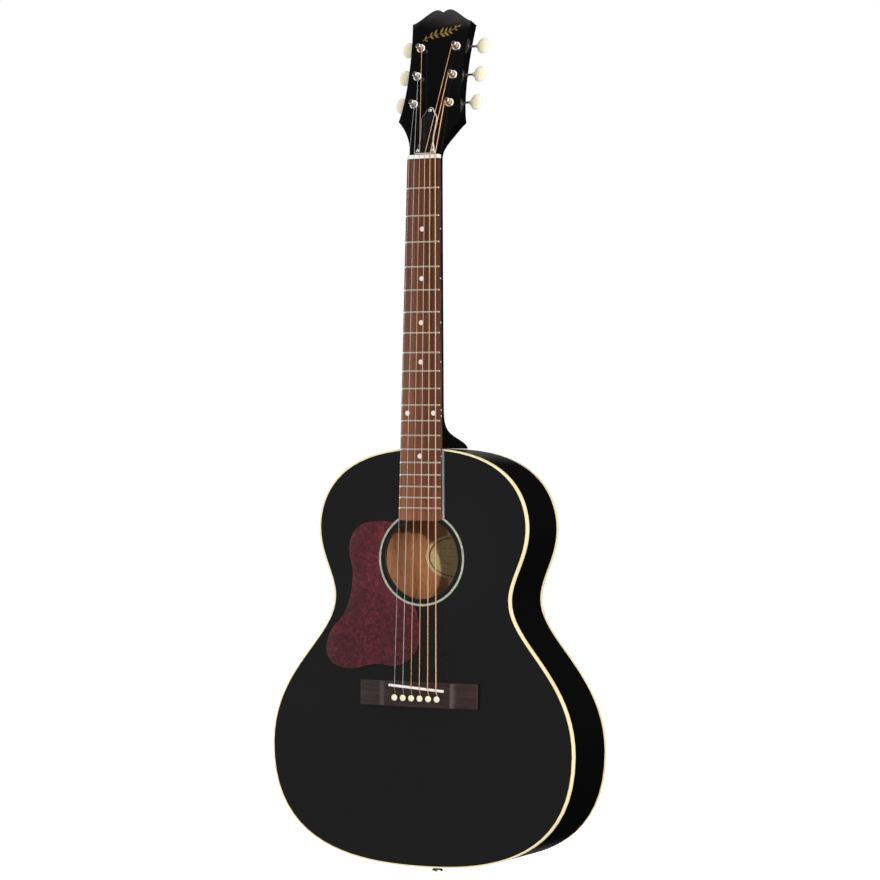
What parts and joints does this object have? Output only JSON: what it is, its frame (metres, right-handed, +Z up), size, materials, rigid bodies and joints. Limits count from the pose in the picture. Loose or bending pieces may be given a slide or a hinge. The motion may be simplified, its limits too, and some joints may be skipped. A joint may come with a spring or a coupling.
{
  "type": "acoustic guitar",
  "caption": "Left-handed flat-top acoustic guitar with a hollow waisted body, fretted neck, pinned bridge and geared tuners.",
  "frame": {"origin": "middle of the flat end face of the strap button, at the tail end of the body", "axes": "+Z runs up the neck, -Y is the way the soundboard faces, and +X is to the right of someone who looks at the soundboard"},
  "size_m": [0.4028, 0.117, 1.0462],
  "materials": {
    "black_lacquer": "gloss black lacquer over wood",
    "cream_binding": "polished cream plastic strip",
    "mahogany": "bare sanded mahogany",
    "spruce": "bare sanded spruce",
    "fretboard_wood": "oiled open-grained red-brown wood",
    "bridge_wood": "oiled dark brown wood",
    "bone": "polished white bone or hard plastic",
    "ivory_plastic": "cream plastic, softly polished",
    "red_shell": "dark red mottled plastic sheet, polished",
    "rosette_plastic": "pale greenish cream ring",
    "label_paper": null,
    "nickel": "bright nickel plate",
    "steel": "plain steel",
    "bronze": "bronze-wound strings",
    "brass": "plain brass",
    "black_plastic": "gloss black plastic with a pale bevel"
  },
  "bodies": {
    "guitar": {"side_right": "black_lacquer", "side_left": "black_lacquer", "soundboard": "black_lacquer", "back_plate": "black_lacquer", "neck": "black_lacquer", "headstock_veneer": "black_lacquer", "front_binding": "cream_binding", "rear_binding": "cream_binding", "front_lining": "mahogany", "rear_lining": "mahogany", "neck_block": "mahogany", "tail_block": "mahogany", "bridge_plate": "mahogany", "x_brace_1": "spruce", "x_brace_2": "spruce", "upper_brace": "spruce", "back_brace_1": "spruce", "back_brace_2": "spruce", "back_strip": "spruce", "rosette": "rosette_plastic", "label": "label_paper", "pickguard": "red_shell", "bridge": "bridge_wood", "saddle": "bone", "nut": "bone", "fretboard": "fretboard_wood", "truss_rod": "steel", "truss_rod_cover": "black_plastic", "strap_button": "nickel", "tuner_housing_1": "nickel", "tuner_housing_2": "nickel", "tuner_housing_3": "nickel", "tuner_housing_4": "nickel", "tuner_housing_5": "nickel", "tuner_housing_6": "nickel", "string_1": "steel", "string_2": "steel", "string_3": "bronze", "string_4": "bronze", "string_5": "bronze", "string_6": "bronze"},
    "bridge_pin_1": {"bridge_pin_1": "ivory_plastic"},
    "bridge_pin_2": {"bridge_pin_2": "ivory_plastic"},
    "bridge_pin_3": {"bridge_pin_3": "ivory_plastic"},
    "bridge_pin_4": {"bridge_pin_4": "ivory_plastic"},
    "bridge_pin_5": {"bridge_pin_5": "ivory_plastic"},
    "bridge_pin_6": {"bridge_pin_6": "ivory_plastic"},
    "truss_rod_nut": {"truss_rod_nut": "brass"},
    "tuner_key_1": {"tuner_key_1": "ivory_plastic"},
    "tuner_post_1": {"tuner_post_1": "nickel"},
    "tuner_key_2": {"tuner_key_2": "ivory_plastic"},
    "tuner_post_2": {"tuner_post_2": "nickel"},
    "tuner_key_3": {"tuner_key_3": "ivory_plastic"},
    "tuner_post_3": {"tuner_post_3": "nickel"},
    "tuner_key_4": {"tuner_key_4": "ivory_plastic"},
    "tuner_post_4": {"tuner_post_4": "nickel"},
    "tuner_key_5": {"tuner_key_5": "ivory_plastic"},
    "tuner_post_5": {"tuner_post_5": "nickel"},
    "tuner_key_6": {"tuner_key_6": "ivory_plastic"},
    "tuner_post_6": {"tuner_post_6": "nickel"}
  },
  "joints": [
    {"name": "bridge_pin_1_slide", "type": "slide", "parent": "guitar", "child": "bridge_pin_1", "axis": [0, -1, 0], "range_m": [0, 0.025]},
    {"name": "bridge_pin_2_slide", "type": "slide", "parent": "guitar", "child": "bridge_pin_2", "axis": [0, -1, 0], "range_m": [0, 0.025]},
    {"name": "bridge_pin_3_slide", "type": "slide", "parent": "guitar", "child": "bridge_pin_3", "axis": [0, -1, 0], "range_m": [0, 0.025]},
    {"name": "bridge_pin_4_slide", "type": "slide", "parent": "guitar", "child": "bridge_pin_4", "axis": [0, -1, 0], "range_m": [0, 0.025]},
    {"name": "bridge_pin_5_slide", "type": "slide", "parent": "guitar", "child": "bridge_pin_5", "axis": [0, -1, 0], "range_m": [0, 0.025]},
    {"name": "bridge_pin_6_slide", "type": "slide", "parent": "guitar", "child": "bridge_pin_6", "axis": [0, -1, 0], "range_m": [0, 0.025]},
    {"name": "truss_rod_nut_turn", "type": "hinge", "parent": "guitar", "child": "truss_rod_nut", "pos_m": [0, -0.04355, 0.86972], "axis": [0, 0, 1], "range_deg": [-180, 180]},
    {"name": "tuner_key_1_turn", "type": "hinge", "parent": "guitar", "child": "tuner_key_1", "pos_m": [-0.024, -0.01573, 0.92991], "axis": [-1, 0, 0], "continuous": true},
    {"name": "tuner_post_1_turn", "type": "hinge", "parent": "guitar", "child": "tuner_post_1", "pos_m": [-0.024, -0.03516, 0.92805], "axis": [0, -0.9703, 0.2419], "continuous": true},
    {"name": "tuner_key_2_turn", "type": "hinge", "parent": "guitar", "child": "tuner_key_2", "pos_m": [-0.024, -0.00702, 0.96484], "axis": [-1, 0, 0], "continuous": true},
    {"name": "tuner_post_2_turn", "type": "hinge", "parent": "guitar", "child": "tuner_post_2", "pos_m": [-0.024, -0.02645, 0.96298], "axis": [0, -0.9703, 0.2419], "continuous": true},
    {"name": "tuner_key_3_turn", "type": "hinge", "parent": "guitar", "child": "tuner_key_3", "pos_m": [-0.024, 0.00183, 1.00035], "axis": [-1, 0, 0], "continuous": true},
    {"name": "tuner_post_3_turn", "type": "hinge", "parent": "guitar", "child": "tuner_post_3", "pos_m": [-0.024, -0.01759, 0.9985], "axis": [0, -0.9703, 0.2419], "continuous": true},
    {"name": "tuner_key_4_turn", "type": "hinge", "parent": "guitar", "child": "tuner_key_4", "pos_m": [0.024, 0.00183, 1.00035], "axis": [1, 0, 0], "continuous": true},
    {"name": "tuner_post_4_turn", "type": "hinge", "parent": "guitar", "child": "tuner_post_4", "pos_m": [0.024, -0.01759, 0.9985], "axis": [0, -0.9703, 0.2419], "continuous": true},
    {"name": "tuner_key_5_turn", "type": "hinge", "parent": "guitar", "child": "tuner_key_5", "pos_m": [0.024, -0.00702, 0.96484], "axis": [1, 0, 0], "continuous": true},
    {"name": "tuner_post_5_turn", "type": "hinge", "parent": "guitar", "child": "tuner_post_5", "pos_m": [0.024, -0.02645, 0.96298], "axis": [0, -0.9703, 0.2419], "continuous": true},
    {"name": "tuner_key_6_turn", "type": "hinge", "parent": "guitar", "child": "tuner_key_6", "pos_m": [0.024, -0.01573, 0.92991], "axis": [1, 0, 0], "continuous": true},
    {"name": "tuner_post_6_turn", "type": "hinge", "parent": "guitar", "child": "tuner_post_6", "pos_m": [0.024, -0.03516, 0.92805], "axis": [0, -0.9703, 0.2419], "continuous": true}
  ],
  "couplings": [
    {"joint": "tuner_key_1_turn", "follows": "tuner_post_1_turn", "ratio": -14},
    {"joint": "tuner_key_2_turn", "follows": "tuner_post_2_turn", "ratio": -14},
    {"joint": "tuner_key_3_turn", "follows": "tuner_post_3_turn", "ratio": -14},
    {"joint": "tuner_key_4_turn", "follows": "tuner_post_4_turn", "ratio": 14},
    {"joint": "tuner_key_5_turn", "follows": "tuner_post_5_turn", "ratio": 14},
    {"joint": "tuner_key_6_turn", "follows": "tuner_post_6_turn", "ratio": 14}
  ]
}
